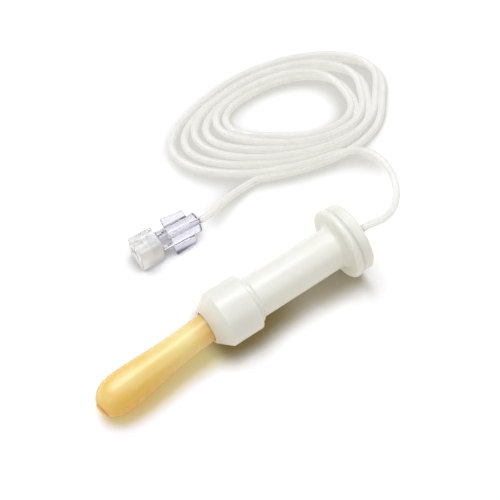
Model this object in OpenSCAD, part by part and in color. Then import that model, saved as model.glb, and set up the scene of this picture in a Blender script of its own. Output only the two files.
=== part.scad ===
// Rubber-tipped air probe lying on a table, with its loose coil of clear tube
// and the winged, locking fitting on the tube's end.
// Lengths are in millimetres. The probe lies along X with its tip towards +X, and +Z is up.

/* [Rubber tip] */
// Length of the tip in front of the collar, end button included
tip_length = 42.4; // [40:0.1:50]
// Diameter at the widest place, near the end
tip_d = 13.1; // [11:0.1:15]
// Diameter of the neck where it leaves the collar
neck_d = 9.8; // [8:0.1:10.2]
// Distance from the collar's mouth to the widest place
swell_at = 33.8; // [24:0.1:34]
// Thickness of the rubber
rubber_wall = 1.4; // [1:0.1:2]
// Diameter of the button on the end
button_d = 5.6; // [4:0.1:7]
// Height of the button above the rounded end
button_height = 0.5; // [0.4:0.1:1.2]
// Diameter of the bead that the collar clamps
bead_d = 14.4; // [12:0.1:15]
// Thickness of the bead
bead_thickness = 2; // [1.4:0.1:3]
// Angle that the soft tip leans to the side, in degrees
tip_lean = 4.5; // [0:0.5:6]
// Angle that the soft tip hangs below the handle's line, in degrees
tip_droop = 1.4; // [0:0.1:1.6]

/* [Collar] */
// Outside diameter of the screw collar
collar_d = 20; // [19:0.1:23]
// Length of its straight part
collar_length = 11.2; // [9:0.1:15]
// Length of its cone
cone_length = 4.7; // [3:0.1:7]
// Outside diameter of the cone's mouth
mouth_d = 12; // [11.4:0.1:15]
// Diameter of the thread that the collar turns on
thread_d = 16; // [15.4:0.1:17]
// Gap around the thread
thread_clearance = 0.15; // [0.1:0.01:0.3]
// Gap around the rubber neck
neck_clearance = 0.3; // [0.2:0.01:0.5]
// Gap between faces that turn on each other
face_clearance = 0.1; // [0.05:0.01:0.2]

/* [Handle] */
// Diameter of the straight barrel
barrel_d = 14.6; // [13:0.1:16]
// Length of the barrel between flange and ring
barrel_length = 34.6; // [25:0.1:50]
// Diameter of the air bore
bore_d = 9; // [6:0.1:10]
// Diameter of the ring behind the collar
ring_d = 16.6; // [16.2:0.1:18]
// Length of that ring
ring_length = 1.3; // [0.8:0.1:2.5]
// Diameter of the rear flange
flange_d = 25.6; // [24.6:0.1:29]
// Thickness of the rear flange
flange_thickness = 2.7; // [2:0.1:4]
// Rounding of the flange's front rim
rim_rounding = 1; // [0.5:0.1:1.4]
// Radius of the fillet between flange and barrel
flange_fillet = 3; // [1:0.1:4]

/* [Rear cap] */
// Diameter of the cap
cap_d = 24.8; // [24.4:0.1:28]
// Thickness of the cap
cap_thickness = 4; // [3:0.1:6]
// Diameter at the bottom of the groove between cap and flange
groove_d = 24; // [22:0.1:24.2]
// Length of the plug that enters the bore
plug_length = 6; // [3:0.1:12]
// Gap between the plug and the bore
plug_clearance = 0.05; // [0.02:0.01:0.1]
// Bevel around the cap's rear edge
cap_bevel = 0.5; // [0.2:0.1:1]

/* [Tube] */
// Outside diameter of the tube
tube_d = 2.6; // [2.2:0.1:2.7]
// Diameter of the nipple that the tube leaves from
nipple_d = 2.9; // [2.4:0.1:4]
// Length of the nipple behind the cap
nipple_length = 4.5; // [3:0.1:6]
// Bore of the nipple
nipple_bore = 1.2; // [0.8:0.1:1.6]
// Gap between the nipple and its hole in the cap
nipple_clearance = 0.02; // [0.01:0.01:0.05]

/* [Coil] */
// Half length of the coil's outer loop
coil_half_length = 50.5; // [50.4:0.1:54]
// Half width of the coil's outer loop
coil_half_width = 23.3; // [23.2:0.1:26]
// Half length of the loop around the hole
hole_half_length = 23.5; // [21:0.1:23.6]
// Half width of the loop around the hole
hole_half_width = 14.3; // [12.5:0.1:14.4]
// Height of the upper layer above the lower
coil_lift = 3.2; // [3.1:0.1:4]
// Number of loops
coil_loops = 6.05; // [4.05:1:6.05]

/* [End fitting] */
// Length of the winged hub
hub_length = 20.1; // [19.5:0.1:23]
// Diameter of the hub
hub_d = 7.4; // [6.8:0.1:7.8]
// Diameter of the hub's rear end
hub_rear_d = 6.4; // [4:0.1:6.6]
// Diameter of the hub's front, under the lock nut
hub_front_d = 6.6; // [6:0.1:6.8]
// Diameter across the two locking lugs
lug_d = 7.8; // [7.4:0.1:7.8]
// Span of the two wings
wing_span = 13.9; // [11:0.1:14.4]
// Length of the wings
wing_length = 8.5; // [6:0.1:10]
// Thickness of the wings
wing_thickness = 1.2; // [0.8:0.1:1.8]
// Diameter of the bead along each wing's edge
wing_bead_d = 1.8; // [1.4:0.1:2]
// Angle that the wings are turned about the hub, in degrees
wing_turn = 40; // [0:1:40]
// Mouth diameter of the hub's conical socket
socket_d = 4.3; // [4:0.1:4.6]
// Depth of the conical socket
socket_depth = 8; // [6:0.1:9]
// Narrowing of the socket per millimetre of depth
socket_taper = 0.06; // [0.05:0.01:0.07]
// Gap between the plug's cone and the socket
socket_clearance = 0.05; // [0.02:0.01:0.1]
// Air bore of the hub
hub_bore = 1.4; // [1:0.1:1.8]
// Width of the square lock nut
nut_width = 9.4; // [9.4:0.1:11.4]
// Rounding of the nut's corners
nut_rounding = 1.2; // [0.8:0.1:3]
// Length of the nut
nut_length = 8.8; // [8:0.1:11]
// Angle that the nut is turned about its axis, in degrees
nut_turn = 6; // [0:1:45]
// Thickness of the nut's front wall
nut_wall = 3.6; // [2.6:0.1:4]
// Gap around the lugs in the nut's bore
lug_clearance = 0.15; // [0.1:0.01:0.3]
// Diameter of the plug's stem in the nut's front wall
stem_d = 4.8; // [4:0.1:5.6]
// Diameter of the plug's shoulder behind that wall
shoulder_d = 7.2; // [6:0.1:7.4]
// Thickness of the plug's shoulder
shoulder_thickness = 1.2; // [0.8:0.1:1.6]
// Gap around the turning stem
stem_clearance = 0.1; // [0.05:0.01:0.2]
// Diameter of the round recess in the stem's end
recess_d = 3; // [2:0.1:3.4]
// Depth of that recess
recess_depth = 2; // [1:0.1:3]

/* [Hidden] */
$fn = 96;

// Stations along the probe, from the rear face of the cap
flange_front = cap_thickness + flange_thickness;
rim_at = flange_front - rim_rounding;
ring_rear = flange_front + barrel_length;
ring_front = ring_rear + ring_length;
collar_rear = ring_front + face_clearance;
collar_front = collar_rear + collar_length;
mouth_at = collar_front + cone_length;
bead_front = collar_front - face_clearance;
bead_rear = bead_front - bead_thickness;
thread_front = bead_rear - face_clearance;
hole_d = nipple_d + 2 * nipple_clearance;

// The rubber tip's rounded end
dome_end = tip_length - button_height;
button_edge = 0.4;
dome_power = 2.3;
neck_step = 0.15;
sleeve_d = neck_d + 2 * neck_step;

// The probe lies on the rim of its flange and the front edge of its collar
tilt = atan((flange_d - collar_d) / 2 / (collar_front - rim_at));
axis_height = rim_at * sin(tilt) + flange_d / 2 * cos(tilt);

// The origin is under the middle of the probe's length
end_slope = cos(tip_droop) * cos(tip_lean) * cos(tilt) - sin(tip_droop) * sin(tilt);
front_x = mouth_at * cos(tilt) + (tip_length - button_edge) * end_slope
    + (button_d / 2 - button_edge) * sqrt(1 - pow(end_slope, 2)) + button_edge;
rear_x = -nipple_length * cos(tilt) - nipple_d / 2 * sin(tilt);
middle_x = (front_x + rear_x) / 2;

// The coil lies beside the probe; its place is measured from the foot of the cap's rear face
coil_place = [-17.4, -63.1];
coil_turn = -16.7;
coil_start = 95;
coil_rings = 24;
half_loops = coil_loops / 2;
// The hole lies off the middle of the outer loop
hole_shift = [-3.6, -2.2];
// How far each loop departs from an oval, in two waves and in three waves around it
outer_waves = [-0.12, 0.11, 0.04];
hole_waves = [0, -0.07, 0.08];

// The end fitting lies on the nut or on a wing, whichever reaches lower
nut_drop = (nut_width / 2 - nut_rounding) * sqrt(2) * sin(45 + nut_turn) + nut_rounding;
wing_drop = wing_span / 2 * sin(wing_turn) + wing_thickness / 2 * cos(wing_turn);
fitting_height = max(nut_drop, wing_drop);
hub_place = [36.9, -38.9, fitting_height];
hub_turn = -1;
shoulder_gap = 0.35;
shoulder_rear = hub_length + shoulder_gap;
shoulder_front = shoulder_rear + shoulder_thickness;
wall_rear = shoulder_front + face_clearance;
wall_front = wall_rear + nut_wall;
nut_rear = wall_front - nut_length;
wing_rear = 3.6;
lug_length = 1;
lug_width = 3.4;

// Lays what is drawn around the X axis on the table, as the probe lies
module on_table() {
    translate([-middle_x, 0, axis_height])
        rotate([0, tilt, 0])
            children();
}

// Places what belongs to the end fitting
module at_fitting() {
    translate([hub_place[0] - middle_x, hub_place[1], hub_place[2]])
        rotate([0, 0, hub_turn])
            children();
}

// Turns a profile, drawn as radius and distance along the axis, about the X axis
module revolve() {
    rotate([0, 90, 0])
        rotate_extrude()
            children();
}

function arc(centre, radius, from, to, steps) =
    [for (i = [0:steps]) let (a = from + (to - from) * i / steps) centre + radius * [cos(a), sin(a)]];

// The tip swells from its neck to its widest place and closes in a rounded end with a button
function swell(t) = pow(t, 3) * (4 - 3 * t);
function tip_side(wall) =
    [for (i = [0:20]) [neck_d / 2 + (tip_d - neck_d) / 2 * swell(i / 20) - wall, swell_at * i / 20]];
function tip_dome(wall) =
    [for (i = [1:12]) let (a = 90 * i / 12)
        [(tip_d / 2 - wall) * pow(abs(cos(a)), 2 / dome_power),
         swell_at + (dome_end - wall - swell_at) * pow(sin(a), 2 / dome_power)]];
button_foot = swell_at + (dome_end - swell_at) * pow(1 - pow(button_d / tip_d, dome_power), 1 / dome_power);
end_button = concat([[button_d / 2, button_foot]],
    arc([button_d / 2 - button_edge, tip_length - button_edge], button_edge, 0, 90, 6),
    [[0, tip_length]]);

module leaning(profile) {
    translate([mouth_at, 0, 0])
        rotate([0, tip_droop, tip_lean])
            revolve()
                polygon(profile);
}

module rubber_tip() {
    overlap = 0.8;
    outer_r = neck_d / 2;
    inner_r = outer_r - rubber_wall;
    shoulder = [for (p = tip_dome(0)) if (p[0] > button_d / 2 + 0.2) p];
    color([0.88, 0.7, 0.36])
        on_table()
            difference() {
                union() {
                    revolve()
                        polygon([[0, bead_rear], [bead_d / 2, bead_rear], [bead_d / 2, bead_front],
                            [sleeve_d / 2, bead_front], [sleeve_d / 2, mouth_at], [0, mouth_at]]);
                    leaning(concat([[0, -overlap], [outer_r, -overlap]], tip_side(0), shoulder, end_button));
                }
                translate([bead_rear - 1, 0, 0])
                    rotate([0, 90, 0])
                        cylinder(h = mouth_at - bead_rear + 1, d = sleeve_d - 2 * rubber_wall);
                leaning(concat([[0, -2 * overlap], [inner_r, -2 * overlap]], tip_side(rubber_wall),
                    tip_dome(rubber_wall)));
            }
}

module collar() {
    bore_r = thread_d / 2 + thread_clearance;
    mouth_r = sleeve_d / 2 + neck_clearance;
    color([0.93, 0.93, 0.91])
        on_table()
            revolve()
                polygon([[bore_r, collar_rear], [collar_d / 2, collar_rear], [collar_d / 2, collar_front],
                    [mouth_d / 2, mouth_at], [mouth_r, mouth_at], [mouth_r, collar_front],
                    [bore_r, collar_front]]);
}

module handle_barrel() {
    ring_slope = 0.8;
    thread_bevel = 0.6;
    color([0.94, 0.94, 0.92])
        on_table()
            revolve()
                polygon(concat([[bore_d / 2, cap_thickness], [groove_d / 2, cap_thickness]],
                    arc([flange_d / 2 - rim_rounding, rim_at], rim_rounding, 0, 90, 8),
                    arc([barrel_d / 2 + flange_fillet, flange_front + flange_fillet], flange_fillet, 270, 180, 10),
                    [[barrel_d / 2, ring_rear - ring_slope], [ring_d / 2, ring_rear],
                     [ring_d / 2, ring_front], [thread_d / 2, ring_front],
                     [thread_d / 2, thread_front - thread_bevel],
                     [thread_d / 2 - thread_bevel, thread_front], [bore_d / 2, thread_front]]));
}

module rear_cap() {
    plug_r = bore_d / 2 - plug_clearance;
    groove_slope = 0.7;
    color([0.94, 0.94, 0.92])
        on_table()
            revolve()
                polygon([[hole_d / 2, 0], [cap_d / 2 - cap_bevel, 0], [cap_d / 2, cap_bevel],
                    [cap_d / 2, cap_thickness - groove_slope], [groove_d / 2, cap_thickness],
                    [plug_r, cap_thickness], [plug_r, cap_thickness + plug_length],
                    [hole_d / 2, cap_thickness + plug_length]]);
}

module tube_nipple() {
    color([0.9, 0.9, 0.87])
        on_table()
            translate([-nipple_length, 0, 0])
                rotate([0, 90, 0])
                    difference() {
                        cylinder(h = nipple_length + cap_thickness, d = nipple_d);
                        translate([0, 0, -1])
                            cylinder(h = nipple_length + cap_thickness + 2, d = nipple_bore);
                    }
}

// A smooth line through points; the first and last points only steer it
function spline_point(p, i, t) =
    0.5 * (2 * p[i] + (p[i + 1] - p[i - 1]) * t
        + (2 * p[i - 1] - 5 * p[i] + 4 * p[i + 1] - p[i + 2]) * pow(t, 2)
        + (3 * p[i] - p[i - 1] - 3 * p[i + 1] + p[i + 2]) * pow(t, 3));
function spline(p, steps) =
    concat([for (i = [1:len(p) - 3], k = [0:steps - 1]) spline_point(p, i, k / steps)], [p[len(p) - 2]]);
function route(p, steps) = concat([p[0]], spline(p, steps), [p[len(p) - 1]]);

function unit(v) = v / norm(v);
function heading(p, i) = unit(p[min(i + 1, len(p) - 1)] - p[max(i - 1, 0)]);
function tube_ring(centre, along, sides) =
    let (across = unit(cross([0, 0, 1], along)), up = cross(along, across))
        [for (i = [0:sides - 1]) let (a = (i + 0.5) * 360 / sides)
            centre + tube_d / 2 * (cos(a) * across + sin(a) * up)];

// One closed tube along a line of points
module tube(p, sides) {
    count = len(p);
    rings = [for (i = [0:count - 1]) each tube_ring(p[i], heading(p, i), sides)];
    walls = [for (i = [0:count - 2], j = [0:sides - 1])
        let (a = i * sides + j, b = i * sides + (j + 1) % sides)
            each [[a, a + sides, b + sides], [a, b + sides, b]]];
    last = (count - 1) * sides;
    ends = [for (j = [1:sides - 2]) each [[0, j, j + 1], [last, last + j + 1, last + j]]];
    polyhedron(points = rings, faces = concat(walls, ends));
}

// The coil: the upper layer spirals in, the tube drops a layer in half a turn and spirals out again
function smooth_step(t) = t * t * (3 - 2 * t);
function coil_inset(u) = min(u, coil_loops - u, half_loops - 0.25) / (half_loops - 0.25);
function coil_drop(u) = smooth_step(min(max((u - half_loops + 0.25) / 0.5, 0), 1));
function waves(a, w) = 1 + w[0] * cos(2 * a) + w[1] * sin(2 * a) + w[2] * cos(3 * a);
function outer_loop(a) = waves(a, outer_waves) * [coil_half_length * cos(a), coil_half_width * sin(a)];
function hole_loop(a) =
    hole_shift + waves(a, hole_waves) * [hole_half_length * cos(a), hole_half_width * sin(a)];
function coil_point(u) =
    let (a = coil_start - 360 * u, w = coil_inset(u), p = outer_loop(a) * (1 - w) + hole_loop(a) * w)
        [coil_place[0] - middle_x + p[0] * cos(coil_turn) - p[1] * sin(coil_turn),
         coil_place[1] + p[0] * sin(coil_turn) + p[1] * cos(coil_turn),
         tube_d / 2 + coil_lift * (1 - coil_drop(u))];
coil_steps = round(coil_loops * coil_rings);
coil_turns = [for (i = [0:coil_steps]) coil_point(coil_loops * i / coil_steps)];
coil_in = unit(coil_point(0.002) - coil_point(0));
coil_out = unit(coil_point(coil_loops) - coil_point(coil_loops - 0.002));
coil_first = coil_turns[0] - tube_d * coil_in;
coil_last = coil_turns[coil_steps] + tube_d * coil_out;
function to_chord(p, a, b) =
    let (t = min(max((p - a) * (b - a) / ((b - a) * (b - a)), 0), 1)) norm(p - a - t * (b - a));
coil_gap = min([for (i = [0:coil_steps], j = [0:coil_steps - 1]) if (abs(j - i) > coil_rings / 2)
    to_chord(coil_turns[i], coil_turns[j], coil_turns[j + 1])]) - tube_d;
echo(str("Least gap between the coil's turns: ", coil_gap, " mm"));

// The free stretch from the probe to the coil
probe_back = [-cos(tilt), 0, sin(tilt)];
lead_first = [-middle_x, 0, axis_height] + nipple_length * probe_back;
lead_bends = [[-13, 0.4, 12.6], [-18.4, -1.2, 10.8], [-23.2, -4.4, 9], [-28, -9.4, 7.2], [-31.8, -16.4, 5.8],
              [-33.1, -22.8, 5], [-32.2, -28.4, 4.6], [-28.8, -32.4, 4.5], [-23.8, -34.9, 4.5]];

// The free stretch from the coil to the fitting
fitting_back = [-cos(hub_turn), -sin(hub_turn), 0];
tail_last = [hub_place[0] - middle_x, hub_place[1], hub_place[2]];
tail_bends = [[10, -44.4, 1.3], [17, -43.6, 2.1], [24, -41.8, 3.6], [29.6, -39.6, 5.2]];

function from_rear(bends) = [for (p = bends) p - [middle_x, 0, 0]];

module tube_lead() {
    color([0.92, 0.92, 0.88])
        tube(route(concat([lead_first, lead_first + tube_d * probe_back], from_rear(lead_bends),
            [coil_first - tube_d * coil_in, coil_first]), 3), 8);
}

module tube_coil() {
    color([0.92, 0.92, 0.88])
        tube(concat([coil_first], coil_turns, [coil_last]), 6);
}

module tube_tail() {
    color([0.92, 0.92, 0.88])
        tube(route(concat([coil_last, coil_last + tube_d * coil_out], from_rear(tail_bends),
            [tail_last + tube_d * fitting_back, tail_last]), 3), 8);
}

function rounded_square(width, rounding) =
    [for (k = [0:3]) let (a = 90 * k + 45, c = (width / 2 - rounding) * sqrt(2) * [cos(a), sin(a)])
        each arc(c, rounding, 90 * k, 90 * k + 90, 6)];

// Half width of the conical socket at a distance from the hub's rear end
function socket_r(x) = socket_d / 2 - socket_taper / 2 * (hub_length - x);

module wing() {
    reach = wing_span / 2 - wing_bead_d / 2;
    translate([wing_rear, 0, -wing_thickness / 2])
        cube([wing_length, reach, wing_thickness]);
    translate([wing_rear, reach, 0])
        rotate([0, 90, 0])
            cylinder(h = wing_length, d = wing_bead_d);
}

module luer_hub() {
    bevel = 0.6;
    step_at = nut_rear - 0.4;
    color([0.84, 0.83, 0.9])
        at_fitting()
            difference() {
                union() {
                    revolve()
                        polygon([[0, 0], [hub_rear_d / 2, 0], [hub_d / 2, bevel], [hub_d / 2, step_at],
                            [hub_front_d / 2, step_at], [hub_front_d / 2, hub_length], [0, hub_length]]);
                    for (side = [0, 180])
                        rotate([side - wing_turn, 0, 0])
                            wing();
                    intersection() {
                        translate([hub_length - lug_length, 0, 0])
                            rotate([0, 90, 0])
                                cylinder(h = lug_length, d = lug_d);
                        translate([hub_length - lug_length, -lug_width / 2, -lug_d / 2])
                            cube([lug_length, lug_width, lug_d]);
                    }
                }
                revolve()
                    polygon([[0, -1], [hub_bore / 2, -1], [hub_bore / 2, hub_length - socket_depth],
                        [socket_r(hub_length - socket_depth), hub_length - socket_depth],
                        [socket_r(hub_length), hub_length], [socket_r(hub_length), hub_length + 1],
                        [0, hub_length + 1]]);
            }
}

module male_plug() {
    nose = hub_length - socket_depth + 0.6;
    stem_front = wall_front - 0.2;
    color([0.78, 0.79, 0.8])
        at_fitting()
            revolve()
                polygon([[0, nose], [socket_r(nose) - socket_clearance, nose],
                    [socket_r(shoulder_rear) - socket_clearance, shoulder_rear],
                    [shoulder_d / 2, shoulder_rear], [shoulder_d / 2, shoulder_front],
                    [stem_d / 2, shoulder_front], [stem_d / 2, stem_front], [recess_d / 2, stem_front],
                    [recess_d / 2, stem_front - recess_depth], [0, stem_front - recess_depth]]);
}

module lock_nut() {
    color([0.9, 0.91, 0.88])
        at_fitting()
            difference() {
                translate([nut_rear, 0, 0])
                    rotate([nut_turn, 0, 0])
                        rotate([90, 0, 90])
                            linear_extrude(nut_length)
                                polygon(rounded_square(nut_width, nut_rounding));
                translate([nut_rear - 1, 0, 0])
                    rotate([0, 90, 0])
                        cylinder(h = nut_length - nut_wall + 1, d = lug_d + 2 * lug_clearance);
                translate([nut_rear, 0, 0])
                    rotate([0, 90, 0])
                        cylinder(h = nut_length + 1, d = stem_d + 2 * stem_clearance);
            }
}

rubber_tip();
collar();
handle_barrel();
rear_cap();
tube_nipple();
tube_lead();
tube_coil();
tube_tail();
luer_hub();
male_plug();
lock_nut();
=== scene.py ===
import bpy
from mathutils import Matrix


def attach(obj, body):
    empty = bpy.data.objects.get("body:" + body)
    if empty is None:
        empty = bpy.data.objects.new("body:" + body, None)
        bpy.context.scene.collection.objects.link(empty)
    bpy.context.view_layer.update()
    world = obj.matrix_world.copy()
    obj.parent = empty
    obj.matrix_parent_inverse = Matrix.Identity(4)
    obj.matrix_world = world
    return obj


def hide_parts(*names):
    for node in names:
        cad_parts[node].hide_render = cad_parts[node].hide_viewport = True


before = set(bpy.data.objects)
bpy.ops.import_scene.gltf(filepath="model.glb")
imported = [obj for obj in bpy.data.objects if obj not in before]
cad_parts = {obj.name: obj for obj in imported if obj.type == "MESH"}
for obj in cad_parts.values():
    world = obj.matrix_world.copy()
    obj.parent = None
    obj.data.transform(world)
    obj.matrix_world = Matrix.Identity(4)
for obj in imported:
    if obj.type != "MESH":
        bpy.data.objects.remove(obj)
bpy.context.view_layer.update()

import math

import bmesh
import bpy
from mathutils import Matrix, Vector

# The view is the photograph's: from the tip's side and above, looking down at about 58 degrees
# from a third of a metre away.
scene = bpy.context.scene
camera = bpy.data.objects.new("camera", bpy.data.cameras.new("camera"))
scene.collection.objects.link(camera)
camera.location = (0.07856, 0.12435, 0.28268)
aim = Vector((-0.02124, -0.02139, 0.0))
camera.rotation_euler = (aim - camera.location).to_track_quat("-Z", "Y").to_euler()
camera.data.lens = 68.4
camera.data.sensor_width = 36.0
camera.data.clip_start = 0.01
scene.camera = camera
scene.view_settings.view_transform = "Standard"


# The handle is one moulded barrel of white, slightly see-through plastic: a wide flange at the rear
# with a soft fillet, a small ring in front, and a thread for the collar. Its sizes are in mm, with
# stations from the rear cap's back. The probe lies on the flange's rim and the collar's edge.
mm = 0.001
tilt = math.radians(3.32465)
rear = Vector((-48.1628, 0, 13.109))
probe = Matrix.Translation(rear * mm) @ Matrix.Rotation(tilt, 4, "Y")
bore_r, barrel_r, ring_r, flange_r, root_r = 4.5, 7.3, 8.3, 12.8, 7.45
seam_at, flange_front, ring_front, nose_front = 4, 6.7, 42.6, 51.7
thread_from, thread_to, thread_pitch, thread_height = 43, 51.4, 2, 0.5


def softened(corners, steps=5):
    """A line of (radius, station, rounding) corners in mm, with each rounding drawn as an arc."""
    line = []
    for i, (radius, station, rounding) in enumerate(corners):
        here = Vector((radius, station))
        if not rounding:
            line.append(here)
            continue
        back = (Vector(corners[i - 1][:2]) - here).normalized()
        on = (Vector(corners[(i + 1) % len(corners)][:2]) - here).normalized()
        half = back.angle(on) / 2
        centre = here + (back + on).normalized() * (rounding / math.sin(half))
        start = here + back * (rounding / math.tan(half)) - centre
        stop = here + on * (rounding / math.tan(half)) - centre
        for k in range(steps + 1):
            line.append(centre + start.lerp(stop, k / steps).normalized() * rounding)
    return line


def circle(radius, station, sides=96, ridge=None):
    """A ring of points about the X axis, in mm; ridge adds to the radius by the angle in turns."""
    ring = []
    for i in range(sides):
        reach = radius + (ridge(i / sides) if ridge else 0)
        angle = 2 * math.pi * i / sides
        ring.append(Vector((station, reach * math.cos(angle), reach * math.sin(angle))))
    return ring


def skinned(name, rings, place, closed=False, even=True):
    """An object skinned over rings of points in mm. closed joins the last ring to the first, and
    otherwise both ends are capped; even lets the large faces set the shading at the edges."""
    build = bmesh.new()
    rows = [[build.verts.new(point * mm) for point in ring] for ring in rings]
    for low, high in zip(rows, rows[1:] + rows[:1] if closed else rows[1:]):
        for i in range(len(low)):
            j = (i + 1) % len(low)
            build.faces.new((low[i], low[j], high[j], high[i]))
    if not closed:
        build.faces.new(rows[0])
        build.faces.new(rows[-1])
    bmesh.ops.recalc_face_normals(build, faces=build.faces)
    mesh = bpy.data.meshes.new(name)
    build.to_mesh(mesh)
    build.free()
    mesh.polygons.foreach_set("use_smooth", [True] * len(mesh.polygons))
    piece = bpy.data.objects.new(name, mesh)
    scene.collection.objects.link(piece)
    piece.matrix_world = place
    if even:
        piece.modifiers.new("even_faces", "WEIGHTED_NORMAL").keep_sharp = True
    return piece


class Shade:
    """A shader socket that takes part in Python expressions."""

    def __init__(self, tree, socket=None):
        self.tree, self.socket = tree, socket

    def node(self, kind, settings=None, sockets=None, out=0):
        """A new node of that kind, with its settings set first and then its sockets filled."""
        made = self.tree.nodes.new("ShaderNode" + kind)
        for name, value in (settings or {}).items():
            setattr(made, name, value)
        for name, value in (sockets or {}).items():
            if isinstance(value, Shade):
                self.tree.links.new(value.socket, made.inputs[name])
            else:
                made.inputs[name].default_value = value
        return Shade(self.tree, made.outputs[out] if len(made.outputs) else None)

    def math(self, operation, first, second):
        return self.node("Math", {"operation": operation}, {0: first, 1: second})

    def __add__(self, other):
        return self.math("ADD", self, other)

    def __sub__(self, other):
        return self.math("SUBTRACT", self, other)

    def __rsub__(self, other):
        return self.math("SUBTRACT", other, self)

    def __mul__(self, other):
        return self.math("MULTIPLY", self, other)

    __radd__ = __add__
    __rmul__ = __mul__

    def ramp(self, low, high):
        """0 below low, 1 above high, smooth between."""
        return self.node("MapRange", {"interpolation_type": "SMOOTHSTEP"}, {0: self, 1: low, 2: high})

    def tint(self, without, full):
        """A colour that goes from one to the other as this value goes from 0 to 1."""
        return self.node("Mix", {"data_type": "RGBA"}, {0: self, 6: without, 7: full}, out=2)

    def along(self, direction):
        """How far this place lies along a direction."""
        return self.node("VectorMath", {"operation": "DOT_PRODUCT"}, {0: self, 1: direction}, out="Value")

    def ray(self, *kinds):
        """1 for a light path of one of these kinds, else 0."""
        found = [self.node("LightPath", out=f"Is {kind} Ray") for kind in kinds]
        most = found[0]
        for other in found[1:]:
            most = self.math("MAXIMUM", most, other)
        return most

    def lit_through(self, skin, light, share):
        """The skin, with a share of light of that colour going through it to what lies behind."""
        clear = self.node("BsdfTransparent", {}, {"Color": light})
        return self.node("MixShader", {}, {0: self.ray("Shadow", "Diffuse") * share, 1: skin, 2: clear})


def colour(red, green, blue):
    """A colour as a screen shows it, 0 to 255, as the linear colour that a shader takes."""
    return (*[((c / 255 + 0.055) / 1.055) ** 2.4 for c in (red, green, blue)], 1.0)


def new_finish(name):
    """An empty material, the start of its shader expressions, and the place on the piece."""
    material = bpy.data.materials.new(name)
    material.use_nodes = True
    material.node_tree.nodes.clear()
    shade = Shade(material.node_tree)
    return material, shade, shade.node("TexCoord", out="Object")


def white_plastic(name, glow=None):
    """Natural white plastic: faint clouds in the colour, a fine moulded grain, and light that wanders
    inside. Between the two stations of glow, the amber rubber begins to show through the wall."""
    material, shade, place = new_finish(name)
    clouds = shade.node("TexNoise", {}, {"Vector": place, "Scale": 70.0, "Detail": 3.0})
    grain = shade.node("TexNoise", {}, {"Vector": place, "Scale": 2600.0, "Detail": 2.0})
    body = clouds.ramp(0.3, 0.7).tint(colour(247, 249, 242), colour(249, 251, 246))
    if glow:
        amber_share = place.along((1, 0, 0)).ramp(glow[0] * mm, glow[1] * mm) * 0.7
        body = amber_share.tint(body, colour(243, 222, 198))
    skin = shade.node("BsdfPrincipled", {}, {
        "Base Color": body, "Roughness": 0.2 + 0.1 * clouds,
        "Normal": shade.node("Bump", {}, {"Height": grain, "Strength": 0.05, "Distance": 0.00004}),
        "Subsurface Weight": 0.6, "Subsurface Radius": (1.0, 0.98, 0.92), "Subsurface Scale": 0.003,
        "IOR": 1.48})
    shade.node("OutputMaterial", {}, {"Surface": skin})
    return material


def thread(station):
    """How far the thread's ridge stands out at an angle in turns; it fades in and out at its ends."""
    fade = min(1, station - thread_from, thread_to - station)

    def ridge(turn):
        wave = abs(((station / thread_pitch - turn) % 1) * 2 - 1)
        return thread_height * min(max(wave * 1.9 - 0.35, 0), 1) * fade
    return ridge


behind_thread = softened([
    (bore_r, seam_at, 0.1), (12.3, seam_at, 0.1), (flange_r, 5.1, 0.5), (flange_r, flange_front, 0.95),
    (barrel_r, flange_front, 2.2), (barrel_r, 40.5, 0.7), (ring_r, 41.3, 0.3), (ring_r, ring_front, 0.2),
    (root_r, ring_front, 0.1)])
threaded = [thread_from + (thread_to - thread_from) * i / 40 for i in range(41)]
nose = softened([(root_r, thread_from, 0), (root_r, nose_front, 0.4), (bore_r, nose_front, 0.2)])[1:]
barrel = skinned("handle_barrel_skin",
                 [circle(r, s) for r, s in behind_thread]
                 + [circle(root_r, s, ridge=thread(s)) for s in threaded]
                 + [circle(r, s) for r, s in nose], probe, closed=True)
barrel.data.materials.append(white_plastic("white_plastic_barrel"))
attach(barrel, "handle")
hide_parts("handle_barrel")


# The rear cap is a moulded disc of the same plastic, bonded into the barrel; a V-shaped groove marks
# the seam. Its plug fills the rear of the bore, and the tube's nipple goes through its middle.
cap_r, cap_plug_r, cap_plug_front, nipple_hole_r = 12.4, 4.45, 10, 1.47
cap = skinned("rear_cap_skin", [circle(r, s) for r, s in softened([
    (nipple_hole_r, 0, 0.2), (cap_r, 0, 0.6), (cap_r, 3.5, 0.3), (12.2, seam_at, 0.1),
    (cap_plug_r, seam_at, 0), (cap_plug_r, cap_plug_front, 0.3), (nipple_hole_r, cap_plug_front, 0.2)])],
    probe, closed=True)
cap.data.materials.append(white_plastic("white_plastic_cap"))
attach(cap, "handle")
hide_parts("rear_cap")


# The nipple is a short milky sleeve bonded into the cap's middle. The clear tube leaves from its end.
nipple_r, nipple_bore_r, nipple_out, nipple_in = 1.45, 0.6, 4.5, 4
nipple = skinned("tube_nipple_skin", [circle(r, s, 48) for r, s in softened([
    (nipple_bore_r, -nipple_out, 0.1), (nipple_r, -nipple_out, 0.3), (nipple_r, nipple_in, 0.1),
    (nipple_bore_r, nipple_in, 0.1)])], probe, closed=True)
milky, shade, place = new_finish("nipple_plastic")
clouds = shade.node("TexNoise", {}, {"Vector": place, "Scale": 300.0, "Detail": 2.0})
shade.node("OutputMaterial", {}, {"Surface": shade.node("BsdfPrincipled", {}, {
    "Base Color": clouds.tint(colour(236, 235, 226), colour(246, 245, 238)),
    "Roughness": 0.22 + 0.1 * clouds,
    "Normal": shade.node("Bump", {}, {"Height": clouds, "Strength": 0.1, "Distance": 0.00005}),
    "Transmission Weight": 0.25, "IOR": 1.46})})
nipple.data.materials.append(milky)
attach(nipple, "handle")
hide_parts("tube_nipple")


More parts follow.
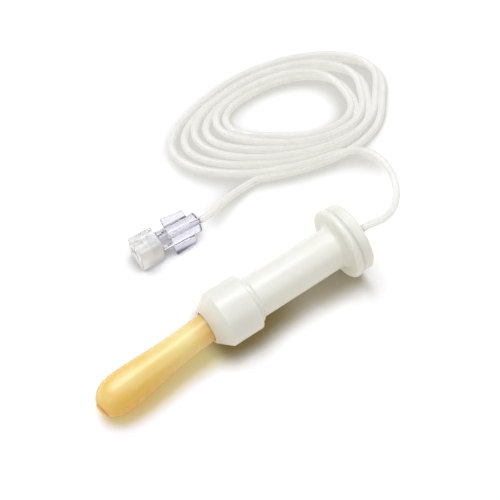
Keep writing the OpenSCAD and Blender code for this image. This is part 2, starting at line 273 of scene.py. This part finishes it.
# The collar is a screw cap of the same white plastic, straight with a crisp cone in front. It screws on
# the barrel's thread and clamps the bead of the rubber tip. Its thin mouth lets some amber show through.
collar_r, collar_bore_r, mouth_r, mouth_hole_r = 10, 8.15, 6, 5.35
collar_back, cone_back, mouth = 42.7, 53.9, 58.6
collar = skinned("collar_skin", [circle(r, s) for r, s in softened([
    (collar_bore_r, collar_back, 0.15), (collar_r, collar_back, 0.4), (collar_r, cone_back, 0.3),
    (mouth_r, mouth, 0.25), (mouth_hole_r, mouth, 0.15), (mouth_hole_r, cone_back, 0),
    (collar_bore_r, cone_back, 0)])], probe, closed=True)
collar.data.materials.append(white_plastic("white_plastic_collar", glow=(54.4, 58.8)))
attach(collar, "screw_collar")
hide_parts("collar")


# The tip is dipped amber rubber, hollow and closed: a thin neck swells to a rounded end with a small
# button. Soft as it is, it leans and droops a little from the collar's mouth, where its bead is clamped.
# Its stations are in mm from that mouth.
neck_r, widest_r, widest_at, round_end, crease_r = 4.9, 6.55, 33.8, 8.6, 3.05
button_r, button_back, button_height = 2.75, 41.83, 0.95
lean = (Matrix.Rotation(math.radians(4.5), 4, "Z") @ Matrix.Rotation(math.radians(1.4), 4, "Y"))
nod_angle, nod_axis, nod_about = math.radians(8), Vector((0, 0.46, 0.89)), 34.9


def eased(value, low, high):
    """0 below low, 1 above high, smooth between."""
    f = min(max((value - low) / (high - low), 0), 1)
    return f * f * (3 - 2 * f)


outside = softened([
    (3.65, -6.8, 0), (7.2, -6.8, 0.3), (7.2, -4.8, 0.3), (5.05, -4.8, 0.3), (5.05, -3, 0), (5.05, -1.6, 0),
    (5.04, -0.8, 0), (4.98, -0.3, 0)], steps=2)
for i in range(41):
    t = i / 40
    outside.append((neck_r + (widest_r - neck_r) * t ** 3 * (4 - 3 * t), widest_at * t))
for i in range(1, 29):
    a = math.radians(90 * i / 28)
    r, s = widest_r * math.cos(a) ** (2 / 2.3), widest_at + round_end * math.sin(a) ** (2 / 2.3)
    if r > crease_r:
        outside.append((r, s))
outside += [(2.98, 41.76), (2.9, 41.76), (2.84, 41.76), (2.8, 41.79)]
for k in range(16):
    a = math.radians(6 * k)
    outside.append((0.02 + button_r * math.cos(a), button_back + button_height * math.sin(a)))
collar_mouth, dome = Vector((mouth, 0, 0)), Vector((nod_about, 0, 0))
rings = []
for r, s in outside:
    bend = Matrix.Identity(4).lerp(lean, eased(s, -1.2, 1.2))
    nod = Matrix.Rotation(nod_angle * eased(s, widest_at, widest_at + 7), 4, nod_axis)
    centre = Vector((s, 0, 0)) if s < 0 else lean @ (dome + nod @ Vector((s - nod_about, 0, 0)))
    rings.append([collar_mouth + centre + bend @ nod @ point for point in circle(r, 0)])
tip = skinned("rubber_tip_skin", rings, probe)

amber, shade, place = new_finish("amber_rubber")
clouds = shade.node("TexNoise", {}, {"Vector": place, "Scale": 130.0, "Detail": 4.0})
streaks = shade.node("TexNoise", {}, {"Scale": 1.0, "Detail": 3.0, "Vector": shade.node(
    "Mapping", {}, {0: place, "Scale": (25.0, 420.0, 420.0)})})
specks = shade.node("TexNoise", {}, {"Vector": place, "Scale": 1900.0, "Detail": 2.0})
station, height = place.along((1, 0, 0)), place.along((0, 0, 1))
mottle = (0.55 * clouds + 0.45 * streaks).ramp(0.35, 0.65)
pale = mottle.tint(colour(249, 227, 162), colour(253, 236, 179))
golden = mottle.tint(colour(243, 206, 121), colour(248, 217, 140))
# The swollen part turns more golden but stays pale along its very top: a painted lit top, where the light
# falls.
swollen = station.ramp(0.07, 0.094) * (1 - 0.8 * station.ramp(0.093, 0.1))
body = (swollen * (1 - 0.8 * height.ramp(0.0048, 0.0057))).tint(pale, golden)
# Painted shade: the neck is darker inside the collar and just out of its mouth.
painted_collar_shade = (1 - station.ramp(0.0572, 0.0665)) * 0.55
body = painted_collar_shade.tint(body, colour(216, 164, 84))
# Painted light: the tip's lower side, most of all on the swollen part, turns deep orange, as light coming
# through the rubber lights it.
painted_underside_glow = (1 - height.ramp(-0.001, 0.0065)) * (0.35 + 0.65 * station.ramp(0.066, 0.086))
body = painted_underside_glow.tint(body, colour(253, 197, 74))
facing = lean @ Matrix.Rotation(nod_angle, 4, nod_axis) @ Vector((1, 0, 0))
end = (place.along(facing) - (collar_mouth + lean @ dome).dot(facing) * mm) * 1000 + nod_about
# Painted shade: darker in the crease round the button, and a little darker over the button itself.
painted_crease_shade = end.ramp(41.6, 41.74) * (1 - 0.6 * end.ramp(41.82, 42.1))
body = painted_crease_shade.tint(body, colour(224, 166, 84))
relief = shade.node("Bump", {}, {
    "Height": 0.7 * streaks + 0.3 * specks, "Strength": 0.1, "Distance": 0.00008})
skin = shade.node("BsdfPrincipled", {}, {
    "Base Color": body, "Roughness": 0.2 + 0.1 * clouds, "Normal": relief, "IOR": 1.46,
    "Subsurface Weight": 0.85, "Subsurface Radius": (1.0, 0.85, 0.6), "Subsurface Scale": 0.004})
deep = shade.node("BsdfPrincipled", {}, {
    "Base Color": streaks.tint(colour(186, 126, 56), colour(196, 138, 64)),
    "Roughness": 0.2 + 0.1 * clouds, "Normal": relief, "IOR": 1.46})
wall = shade.node("LayerWeight", {}, {"Blend": 0.3}, out="Facing").ramp(0.4, 0.95) * 0.85
walled = shade.node("MixShader", {}, {0: wall, 1: skin, 2: deep})
shade.node("OutputMaterial", {}, {"Surface": shade.lit_through(walled, colour(250, 228, 130), 0.5)})
tip.data.materials.append(amber)
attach(tip, "tip")
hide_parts("rubber_tip")


# The hub on the tube's end is a clear moulding with a lavender tint: a round body with two thick-edged
# wings, a conical socket in its front, and two small lugs that the lock nut turns on. Its sizes are in mm,
# with stations from its rear face.
fitting_at, fitting_turn = Vector((-11.2628, -38.9, 5.0466)), math.radians(-1)
fitting = Matrix.Translation(fitting_at * mm) @ Matrix.Rotation(fitting_turn, 4, "Z")
hub_r, front_r, hub_bore_r, lug_half_width = 3.7, 3.3, 0.7, 1.9
plate, edge_r, reach, fillet, wing_turn = 0.6, 0.9, 6.05, 1.0, math.radians(40)


def arc(centre, radius, start, stop, count):
    """Points along an arc, from its start to its stop."""
    angles = [start + (stop - start) * i / (count - 1) for i in range(count)]
    return [centre + Vector((radius * math.cos(a), radius * math.sin(a))) for a in angles]


def all_round(quarter):
    """The whole outline from its first quarter, turned as the wings lie."""
    half = quarter + [Vector((p.x, -p.y)) for p in reversed(quarter[:-1])]
    whole = half[:-1] + [-p for p in half[:-1]]
    return [Matrix.Rotation(-wing_turn, 2) @ p for p in whole]


axis = Vector((0, 0))
fillet_at = Vector((math.sqrt((hub_r + fillet) ** 2 - (plate + fillet) ** 2), plate + fillet))
foot, join = math.atan2(fillet_at.y, fillet_at.x), math.asin(plate / edge_r)
shared = arc(axis, hub_r, math.pi / 2, foot, 11)[:-1]
plain = all_round(shared + arc(axis, hub_r, foot, 0, 14))
winged = all_round(shared + arc(fillet_at, fillet, math.pi + foot, 1.5 * math.pi, 6)
                   + arc(Vector((reach, 0)), edge_r, math.pi - join, 0, 8))


def hub_ring(station, radius=hub_r, wing=0.0):
    """A round ring, or one that goes a share of the way out to the wings."""
    return [Vector((station, *(p.lerp(q, wing) * (radius / hub_r)))) for p, q in zip(plain, winged)]


def lug_ring(station, lug):
    """A ring of the hub's front that stands out to the lugs at its top and bottom."""
    ring = []
    for p in plain:
        side = min(max((lug_half_width - abs(p.x) / hub_r * front_r) / 0.25, 0), 1)
        ring.append(Vector((station, *(p / hub_r * (front_r + lug * side)))))
    return ring


rear_end = [(0, hub_bore_r), (0, 2.9), (0.1, 3.2), (0.6, 3.62), (1.0, hub_r), (2.4, hub_r), (3.55, hub_r)]
wings = [(3.6, 0.05), (3.6, 0.72), (3.68, 0.78), (3.9, 0.81), (6, 0.86), (8, 0.91), (10, 0.96), (11.8, 1.0),
         (12.02, 0.97), (12.1, 0.9), (12.1, 0.05)]
front_end = [(12.15, hub_r), (14, hub_r), (15.9, hub_r), (16.1, 3.62), (16.15, 3.5), (16.15, 3.35),
             (16.3, front_r), (17.5, front_r), (19.05, front_r)]
lugs = [(19.1, 0.55), (20, 0.55), (20.05, 0.5)]
socket = [(20.1, 3.2), (20.1, 2.2), (20.0, 2.15), (16, 2.03), (12.1, 1.91), (12.1, 0.75), (12, hub_bore_r),
          (6, hub_bore_r)]
hub = skinned("luer_hub_skin",
              [hub_ring(s, r) for s, r in rear_end] + [hub_ring(s, wing=w) for s, w in wings]
              + [hub_ring(s, r) for s, r in front_end] + [lug_ring(s, out) for s, out in lugs]
              + [hub_ring(s, r) for s, r in socket], fitting, closed=True)


def clear_plastic(name, thin, deep, rough, clear, through, painted_edge_shade=None):
    """A clear moulding: faint flow clouds in its tint, and a surface that is smooth but not perfect.
    through is the share of light that reaches the table; the last argument is the colour of a painted
    dark line along the lower wing's thick edge, where refraction darkens clear plastic."""
    material, shade, place = new_finish(name)
    flow = shade.node("TexNoise", {}, {"Scale": 1.0, "Detail": 3.0, "Vector": shade.node(
        "Mapping", {}, {0: place, "Scale": (120.0, 480.0, 480.0)})})
    body = flow.ramp(0.3, 0.7).tint(thin, deep)
    # Painted shade: a dark line along the lower wing's thick edge, standing in for the darkness that
    # refraction gives clear plastic there.
    if painted_edge_shade:
        outward = place.along((0, math.cos(wing_turn), -math.sin(wing_turn)))
        body = outward.ramp(0.0056, 0.0062).tint(body, painted_edge_shade)
    skin = shade.node("BsdfPrincipled", {}, {
        "Base Color": body, "Roughness": rough + 0.06 * flow,
        "Normal": shade.node("Bump", {}, {"Height": flow, "Strength": 0.1, "Distance": 0.00004}),
        "Transmission Weight": clear, "IOR": 1.52})
    shade.node("OutputMaterial", {}, {"Surface": shade.lit_through(skin, thin, through)})
    return material


hub.data.materials.append(clear_plastic(
    "hub_plastic", colour(240, 239, 243), colour(231, 230, 236), rough=0.03, clear=1.0, through=0.88,
    painted_edge_shade=colour(110, 108, 120)))
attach(hub, "handle")
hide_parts("luer_hub")


# The plug is a solid grey-white cone that seals the hub's socket. Its shoulder sits behind the nut's front
# wall, and its stem, with a round recess, shows in the nut's face.
plug_back, shoulder_back, shoulder_front, stem_front, recess_at = 12.7, 20.45, 21.65, 25.15, 23.15
shoulder_r, stem_r, recess_r, centre_r = 3.6, 2.4, 1.5, 0.02
plug = skinned("male_plug_skin", [circle(r, s, 64) for r, s in softened([
    (centre_r, plug_back, 0), (1.88, plug_back, 0.2), (2.11, shoulder_back, 0.1),
    (shoulder_r, shoulder_back, 0.2), (shoulder_r, shoulder_front, 0.2), (stem_r, shoulder_front, 0.1),
    (stem_r, stem_front, 0.25), (recess_r, stem_front, 0.2), (recess_r, recess_at, 0.2),
    (centre_r, recess_at, 0)])], fitting)
plug.data.materials.append(clear_plastic(
    "plug_plastic", colour(244, 244, 247), colour(236, 236, 240), rough=0.2, clear=0.5, through=0.7))
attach(plug, "plug")
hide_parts("male_plug")


# The lock nut is a translucent square moulding with rounded corners. It turns on the plug's stem and draws
# the plug into the hub by the lugs, and its round bore shows faintly through its walls.
nut_back, nut_front, nut_turn = 16.55, 25.35, Matrix.Rotation(math.radians(6), 2)


def square_ring(station, width, rounding):
    """A rounded square around the fitting, with 16 points to a corner."""
    ring = []
    for k in range(4):
        out = (width / 2 - rounding) * math.sqrt(2)
        corner = math.radians(90 * k + 45)
        centre = Vector((out * math.cos(corner), out * math.sin(corner)))
        ring += arc(centre, rounding, math.radians(90 * k), math.radians(90 * k + 90), 16)
    return [Vector((station, *(nut_turn @ p))) for p in ring]


def bore_ring(station, radius):
    """A circle with as many points as the rounded square has."""
    half_step = math.pi / 64
    ring = arc(axis, radius, half_step, 2 * math.pi - half_step, 64)
    return [Vector((station, *(nut_turn @ p))) for p in ring]


nut_walls = [(nut_back, 8.6, 0.8), (16.62, 9.1, 1.05), (16.85, 9.4, 1.2), (19, 9.4, 1.2), (22.5, 9.4, 1.2),
             (25.05, 9.4, 1.2), (25.28, 9.1, 1.05), (nut_front, 8.6, 0.8)]
nut_bore = [(nut_front, 2.6), (25.25, 2.5), (21.8, 2.5), (21.75, 2.6), (21.75, 3.9), (21.6, 4.05), (19, 4.05),
            (16.65, 4.05), (nut_back, 4.15)]
nut = skinned("lock_nut_skin", [square_ring(*wall) for wall in nut_walls]
              + [bore_ring(*step) for step in nut_bore], fitting, closed=True)
nut.data.materials.append(clear_plastic(
    "nut_plastic", colour(254, 254, 255), colour(251, 252, 255), rough=0.06, clear=0.7, through=0.97))
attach(nut, "nut")
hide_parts("lock_nut")


# The tube is one length of clear, faintly milky hose, fixed to the nipple and the hub by its ends. It
# swings round from the probe to a loose coil of six loops in two layers, and runs out from under the
# coil to the hub. Its route is in mm, from the table under the rear cap's back.
tube_d, loops, drop_from, layer_height = 2.6, 6.05, 0.25, 3.2
coil_x, coil_y, coil_turn = -17.4, -63.1, Matrix.Rotation(math.radians(-16.7), 2)
hole_at = Vector((-3.6, -2.2))


def laid(x, y, z):
    """A point of the route."""
    return Vector((rear.x + x, y, z))


def coil_point(u):
    """The coil, u loops from its start: the upper layer spirals in, drops a layer, and spirals out."""
    a = math.radians(95 - 360 * u)
    half = loops / 2
    inset = min(u, loops - u, half - drop_from) / (half - drop_from)
    outer_wave = 1 - 0.12 * math.cos(2 * a) + 0.11 * math.sin(2 * a) + 0.04 * math.cos(3 * a)
    hole_wave = 1 - 0.07 * math.sin(2 * a) + 0.08 * math.cos(3 * a)
    outer = Vector((50.5 * math.cos(a), 23.3 * math.sin(a))) * outer_wave
    hole = hole_at + Vector((23.5 * math.cos(a), 14.3 * math.sin(a))) * hole_wave
    p = coil_turn @ outer.lerp(hole, inset)
    lift = layer_height * (1 - eased(u, half - drop_from, half + drop_from))
    return laid(coil_x + p.x, coil_y + p.y, tube_d / 2 + lift)


def route(points, steps=9):
    """A smooth line through the points; the first and last stretches are straight."""
    line = [points[0]]
    for before, here, on, after in zip(points, points[1:], points[2:], points[3:]):
        for k in range(steps):
            t = k / steps
            line.append(0.5 * (2 * here + (on - before) * t
                               + (2 * before - 5 * here + 4 * on - after) * t ** 2
                               + (3 * here - before - 3 * on + after) * t ** 3))
    return line + points[-2:]


turns = [coil_point(loops * i / 870) for i in range(871)]
going_in = tube_d * (coil_point(0.002) - coil_point(0)).normalized()
going_out = tube_d * (coil_point(loops) - coil_point(loops - 0.002)).normalized()
from_probe = Vector((-math.cos(tilt), 0, math.sin(tilt)))
from_hub = Vector((-math.cos(fitting_turn), -math.sin(fitting_turn), 0))
lead_first = rear + nipple_out * from_probe
coil_first, coil_last = turns[0] - going_in, turns[-1] + going_out
lead_bends = [(-13, 0.4, 12.6), (-18.4, -1.2, 10.8), (-23.2, -4.4, 9), (-28, -9.4, 7.2), (-31.8, -16.4, 5.8),
              (-33.1, -22.8, 5), (-32.2, -28.4, 4.6), (-28.8, -32.4, 4.5), (-23.8, -34.9, 4.5)]
tail_bends = [(10, -44.4, 1.3), (17, -43.6, 2.1), (24, -41.8, 3.6), (29.6, -39.6, 5.2)]
lead = route([lead_first, lead_first + tube_d * from_probe] + [laid(*bend) for bend in lead_bends]
             + [coil_first - going_in, coil_first])
tail = route([coil_last, coil_last + going_out] + [laid(*bend) for bend in tail_bends]
             + [fitting_at + tube_d * from_hub, fitting_at])
path = lead + turns + tail


def tube_ring(i, sides=20):
    """A ring of the tube around a point of its path."""
    heading = (path[min(i + 1, len(path) - 1)] - path[max(i - 1, 0)]).normalized()
    across = Vector((0, 0, 1)).cross(heading).normalized()
    up = heading.cross(across)
    return [path[i] + tube_d / 2 * (across * math.cos(a) + up * math.sin(a))
            for a in [2 * math.pi * k / sides for k in range(sides)]]


tube = skinned("tube_skin", [tube_ring(i) for i in range(len(path))], Matrix.Identity(4), even=False)
hose, shade, place = new_finish("clear_tube")
clouds = shade.node("TexNoise", {}, {"Vector": place, "Scale": 160.0, "Detail": 3.0})
skin = shade.node("BsdfPrincipled", {}, {
    "Base Color": clouds.ramp(0.35, 0.65).tint(colour(253, 254, 255), colour(248, 249, 251)),
    "Roughness": 0.08 + 0.05 * clouds, "IOR": 1.46,
    "Normal": shade.node("Bump", {}, {"Height": clouds, "Strength": 0.03, "Distance": 0.00003})})
wall = shade.node("LayerWeight", {}, {"Blend": 0.5}, out="Facing").ramp(0.1, 0.9)
milk = shade.node("MixShader", {}, {0: 0.55 + 0.35 * wall, 1: shade.node("BsdfTransparent"), 2: skin})
shade.node("OutputMaterial", {}, {"Surface": shade.lit_through(milk, (1, 1, 1, 1), 0.94)})
tube.data.materials.append(hose)
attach(tube, "handle")
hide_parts("tube_lead", "tube_coil", "tube_tail")
length = sum((b - a).length for a, b in zip(path, path[1:])) * mm
[p * mm for p in path]


# The table is a plain white sheet, seen as white. Painted shadows darken its colour where pieces touch
# it: brown under the probe, amber by the tip, grey by the nut and pale under the clear tube.
floor_build = bmesh.new()
bmesh.ops.create_grid(floor_build, x_segments=2, y_segments=2, size=1.5)
floor_mesh = bpy.data.meshes.new("floor")
floor_build.to_mesh(floor_mesh)
floor_build.free()
floor = bpy.data.objects.new("floor", floor_mesh)
scene.collection.objects.link(floor)
paper, shade, place = new_finish("white_paper")
unseen, seen_white, seen_by_tip, seen_far_off = (
    (0.88, 0.83, 0.71, 1), (1.12, 1.13, 1.2, 1), (1.1, 1.16, 1.36, 1), (1.75, 1.77, 1.88, 1))
# The colours of the painted shadows.
brown, amber_shade, grey, pale_grey = (
    (0.36, 0.28, 0.13, 1), (0.95, 0.97, 0.68, 1), (0.56, 0.55, 0.535, 1), (0.68, 0.68, 0.665, 1))
# Painted shadow: the less open sky a spot of the sheet sees, looking towards the lamp, the more its colour
# darkens where the camera sees it.
to_lamp = Vector((0.13, -0.75, 0.75)).normalized()
open_sky = shade.node("AmbientOcclusion", {"samples": 12}, {"Distance": 0.016, "Normal": to_lamp}, out="AO")
along, across = place.along((1, 0, 0)), place.along((0, 1, 0))
near_probe = across.ramp(-0.03, -0.016)
near_tip = (near_probe * (1 - across.ramp(0.03, 0.06))
            * along.ramp(0.006, 0.014) * (1 - along.ramp(0.07, 0.11)))
near_fitting, near_nut = along.ramp(-0.02, -0.012), along.ramp(0.004, 0.013)
under_probe = ((1 - open_sky.ramp(0.55, 0.78)) * along.ramp(-0.05, -0.0455)
               * (0.75 + 0.25 * along.ramp(-0.03, -0.01)))
fitting_light = (1 - near_nut) * open_sky.ramp(0.3, 0.62) + near_nut * open_sky.ramp(0.45, 0.9)
under_tube = 1 - near_fitting * fitting_light - (1 - near_fitting) * open_sky.ramp(0.62, 0.93)
# The share of painted shadow, for camera rays only.
painted_shadow_share = shade.ray("Camera") * (near_probe * under_probe + (1 - near_probe) * under_tube)
shadow = near_tip.tint(near_probe.tint(near_nut.tint(pale_grey, grey), brown), amber_shade)
far_off = (along * along + across * across).ramp(0.05, 1.6)
seen_sheet = far_off.tint(near_tip.tint(seen_white, seen_by_tip), seen_far_off)
sheet = shade.ray("Camera", "Glossy", "Transmission").tint(unseen, seen_sheet)
shade.node("OutputMaterial", {}, {"Surface": shade.node("BsdfDiffuse", {}, {
    "Color": painted_shadow_share.tint(sheet, shadow)})})
floor_mesh.materials.append(paper)


# The light is a pale room, white where it is seen, with one large soft box above and behind the coil.
room = bpy.data.worlds.new("room")
room.use_nodes = True
room.node_tree.nodes.clear()
shade = Shade(room.node_tree)
seen = shade.ray("Camera", "Glossy", "Transmission")
shade.node("OutputWorld", {}, {"Surface": shade.node("Background", {}, {
    "Color": seen.tint((1.0, 0.97, 0.89, 1), (1, 1, 1, 1)), "Strength": 0.6 + 0.4 * seen})})
scene.world = room
box = bpy.data.lights.new("soft_box", "AREA")
box.shape, box.size, box.size_y = "RECTANGLE", 0.8, 0.6
box.energy = 6.6
box.color = (0.97, 1.0, 1.03)
lamp = bpy.data.objects.new("soft_box", box)
scene.collection.objects.link(lamp)
lamp.location = (0.06, -0.42, 1.14)
lamp.rotation_euler = (Vector((-0.02, -0.02, 0)) - lamp.location).to_track_quat("-Z", "Y").to_euler()


# A low dark band stands around the table. It is seen only in gloss and through clear plastic, and it gives
# the clear pieces' edges their lines.
band_build = bmesh.new()
bmesh.ops.create_cone(band_build, segments=48, radius1=0.5, radius2=0.5, depth=0.3)
band_mesh = bpy.data.meshes.new("dark_band")
band_build.to_mesh(band_mesh)
band_build.free()
band = bpy.data.objects.new("dark_band", band_mesh)
scene.collection.objects.link(band)
band.location = (-0.03, -0.03, 0.155)
band.visible_camera = band.visible_diffuse = band.visible_shadow = False
cloth, shade, place = new_finish("dark_cloth")
black = shade.node("BsdfDiffuse", {}, {"Color": (0.02, 0.02, 0.025, 1)})
shade.node("OutputMaterial", {}, {"Surface": black})
band_mesh.materials.append(cloth)
